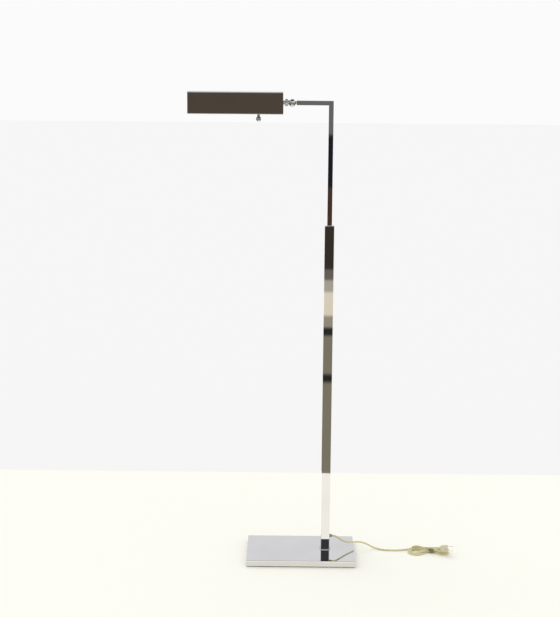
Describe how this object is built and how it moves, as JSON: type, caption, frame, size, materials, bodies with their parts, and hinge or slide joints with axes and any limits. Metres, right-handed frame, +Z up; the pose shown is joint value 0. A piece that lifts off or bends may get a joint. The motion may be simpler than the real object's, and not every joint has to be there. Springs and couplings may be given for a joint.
{
  "type": "floor lamp",
  "caption": "Adjustable floor lamp: square post sliding in a square column on a rectangular base, box shade on a ball swivel, turn knob and bundled flat cord.",
  "frame": {"origin": "on the column's axis, on the floor under the felt pad", "axes": "+Z up, -X towards the shade, -Y the front, +X the side the cord leaves on"},
  "size_m": [0.7633, 0.203, 1.33],
  "materials": {
    "chrome": "polished chrome plate",
    "steel": "plain zinc-plated steel",
    "brass": "plain brass",
    "felt": "pressed felt",
    "nylon": "natural nylon",
    "phenolic": "moulded phenolic",
    "bulb_glass": "frosted glass",
    "cord": "clear gold-tinted insulation",
    "plug": "moulded clear plastic"
  },
  "bodies": {
    "stand": {"base_felt_pad": "felt", "base_plate": "chrome", "column_bolt": "steel", "column_dowel": "steel", "column_foot_plug": "steel", "column_lock_washer": "steel", "column_tube": "chrome", "column_collar": "chrome", "strain_relief": "cord", "slack_lead": "cord", "cord_run": "cord", "cord_hank": "cord", "plug_body": "plug", "plug_blade_lower": "brass", "plug_blade_upper": "brass"},
    "post": {"inner_post": "chrome", "arm_tube": "chrome", "post_guide_block": "nylon", "friction_spring": "steel", "guide_screw": "steel", "arm_end_plug": "steel", "post_lead": "cord", "swivel_arm_half": "chrome"},
    "swivel": {"swivel_shade_half": "chrome", "swivel_screw": "chrome", "swivel_spring_washer": "steel", "swivel_nut": "steel", "knurled_ring": "chrome"},
    "shade": {"shade_nipple": "brass", "shade_neck_washer": "chrome", "shade_shell": "chrome", "shade_end_plate_near": "chrome", "shade_end_plate_far": "chrome", "shade_lock_nut": "brass", "shade_lead": "cord", "socket_cap": "brass", "socket_shell": "brass", "socket_body": "phenolic", "socket_thread_shell": "brass", "socket_contact": "brass", "bulb_base": "steel", "bulb_glass": "bulb_glass", "switch_bushing": "brass"},
    "knob": {"switch_knob": "chrome", "switch_shaft": "steel"}
  },
  "joints": [
    {"name": "post_height", "type": "slide", "parent": "stand", "child": "post", "axis": [0, 0, 1], "range_m": [-0.3, 0.15], "deforming": ["slack_lead"]},
    {"name": "shade_tilt", "type": "hinge", "parent": "post", "child": "swivel", "pos_m": [-0.1069, 0, 1.3], "axis": [0, 1, 0], "range_deg": [-90, 90]},
    {"name": "shade_roll", "type": "hinge", "parent": "swivel", "child": "shade", "pos_m": [-0.1069, 0, 1.3], "axis": [1, 0, 0], "range_deg": [-170, 170]},
    {"name": "switch_turn", "type": "hinge", "parent": "shade", "child": "knob", "pos_m": [-0.1984, 0, 1.2554], "axis": [0, 0, 1], "continuous": true}
  ]
}
